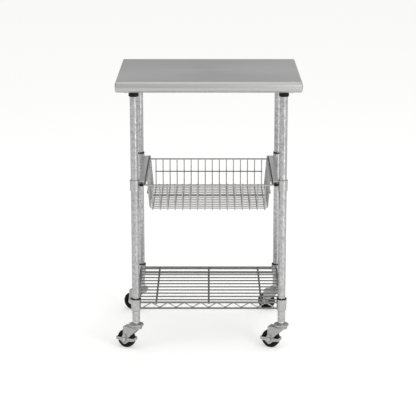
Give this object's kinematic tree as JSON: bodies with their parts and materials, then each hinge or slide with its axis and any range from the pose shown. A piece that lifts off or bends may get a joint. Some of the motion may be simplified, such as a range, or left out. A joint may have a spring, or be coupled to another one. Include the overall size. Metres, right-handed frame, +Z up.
{
  "type": "kitchen island cart",
  "caption": "Kitchen island cart with a bullnosed steel worktop on grooved posts, a pull-out wire basket, a wire shelf near the floor and swivel casters with wheel brakes.",
  "frame": {"origin": "middle of the footprint, at the floor that the casters stand on", "axes": "+Z up, +X to the right seen from the front, and the front that the basket pulls out of faces -Y"},
  "size_m": [0.6159, 0.508, 0.914],
  "materials": {
    "stainless": "fine brushed stainless sheet",
    "core_board": "bare particle board",
    "zinc_steel": "zinc plated",
    "zinc_pressing": "bright zinc plated pressing",
    "chrome_post": "plated tube",
    "chrome_wire": "plated wire",
    "chrome_collar": "plated collar",
    "chrome_rail": "plated sheet",
    "black_plastic": "moulded nylon",
    "wheel_core": "moulded",
    "tread": "matt rubber"
  },
  "bodies": {
    "frame": {"tabletop_skin": "stainless", "tabletop_core": "core_board", "top_sockets": "zinc_steel", "top_socket_screws": "zinc_steel", "top_post_collars": "black_plastic", "post_front_left": "chrome_post", "post_front_right": "chrome_post", "post_rear_left": "chrome_post", "post_rear_right": "chrome_post", "caster_inserts": "zinc_steel", "shelf_upper_frame": "chrome_wire", "shelf_lower_frame": "chrome_wire", "shelf_truss_wires": "chrome_wire", "shelf_surface_wires": "chrome_wire", "shelf_support_wires": "chrome_wire", "shelf_corner_collars": "chrome_collar", "shelf_split_sleeves": "black_plastic", "rail_left": "chrome_rail", "rail_right": "chrome_rail", "rail_collars": "chrome_collar", "rail_split_sleeves_front": "black_plastic", "rail_split_sleeves_rear": "black_plastic", "caster_stems": "zinc_pressing", "caster_top_races": "zinc_pressing", "caster_balls": "zinc_steel"},
    "basket": {"basket_rim": "chrome_wire", "basket_front_bar": "chrome_wire", "basket_bar_caps": "black_plastic", "basket_cross_wires": "chrome_wire", "basket_long_wires": "chrome_wire", "basket_band_wires": "chrome_wire", "basket_guide_pins": "chrome_wire"},
    "fork_front_left": {"yoke_front_left": "zinc_pressing", "axle_front_left": "zinc_steel", "brake_pins_front_left": "zinc_steel"},
    "roller_front_left": {"wheel_front_left": "wheel_core", "tyre_front_left": "tread"},
    "brake_front_left": {"brake_lever_front_left": "zinc_pressing"},
    "fork_front_right": {"yoke_front_right": "zinc_pressing", "axle_front_right": "zinc_steel", "brake_pins_front_right": "zinc_steel"},
    "roller_front_right": {"wheel_front_right": "wheel_core", "tyre_front_right": "tread"},
    "brake_front_right": {"brake_lever_front_right": "zinc_pressing"},
    "fork_rear_left": {"yoke_rear_left": "zinc_pressing", "axle_rear_left": "zinc_steel"},
    "roller_rear_left": {"wheel_rear_left": "wheel_core", "tyre_rear_left": "tread"},
    "fork_rear_right": {"yoke_rear_right": "zinc_pressing", "axle_rear_right": "zinc_steel"},
    "roller_rear_right": {"wheel_rear_right": "wheel_core", "tyre_rear_right": "tread"}
  },
  "joints": [
    {"name": "basket_slide", "type": "slide", "parent": "frame", "child": "basket", "axis": [0, -1, 0], "range_m": [0, 0.305]},
    {"name": "caster_swivel_front_left", "type": "hinge", "parent": "frame", "child": "fork_front_left", "pos_m": [-0.2435, -0.208, 0.075], "axis": [0, 0, 1], "continuous": true},
    {"name": "wheel_spin_front_left", "type": "hinge", "parent": "fork_front_left", "child": "roller_front_left", "pos_m": [-0.27705, -0.19016, 0.031], "axis": [-0.4695, -0.8829, 0], "continuous": true},
    {"name": "brake_rock_front_left", "type": "hinge", "parent": "fork_front_left", "child": "brake_front_left", "pos_m": [-0.27705, -0.19016, 0.043], "axis": [-0.4695, -0.8829, 0], "range_deg": [0, 5.5]},
    {"name": "caster_swivel_front_right", "type": "hinge", "parent": "frame", "child": "fork_front_right", "pos_m": [0.2435, -0.208, 0.075], "axis": [0, 0, 1], "continuous": true},
    {"name": "wheel_spin_front_right", "type": "hinge", "parent": "fork_front_right", "child": "roller_front_right", "pos_m": [0.20995, -0.19016, 0.031], "axis": [-0.4695, -0.8829, 0], "continuous": true},
    {"name": "brake_rock_front_right", "type": "hinge", "parent": "fork_front_right", "child": "brake_front_right", "pos_m": [0.20995, -0.19016, 0.043], "axis": [-0.4695, -0.8829, 0], "range_deg": [0, 5.5]},
    {"name": "caster_swivel_rear_left", "type": "hinge", "parent": "frame", "child": "fork_rear_left", "pos_m": [-0.2435, 0.208, 0.075], "axis": [0, 0, 1], "continuous": true},
    {"name": "wheel_spin_rear_left", "type": "hinge", "parent": "fork_rear_left", "child": "roller_rear_left", "pos_m": [-0.27705, 0.22584, 0.031], "axis": [-0.4695, -0.8829, 0], "continuous": true},
    {"name": "caster_swivel_rear_right", "type": "hinge", "parent": "frame", "child": "fork_rear_right", "pos_m": [0.2435, 0.208, 0.075], "axis": [0, 0, 1], "continuous": true},
    {"name": "wheel_spin_rear_right", "type": "hinge", "parent": "fork_rear_right", "child": "roller_rear_right", "pos_m": [0.20995, 0.22584, 0.031], "axis": [-0.4695, -0.8829, 0], "continuous": true}
  ]
}
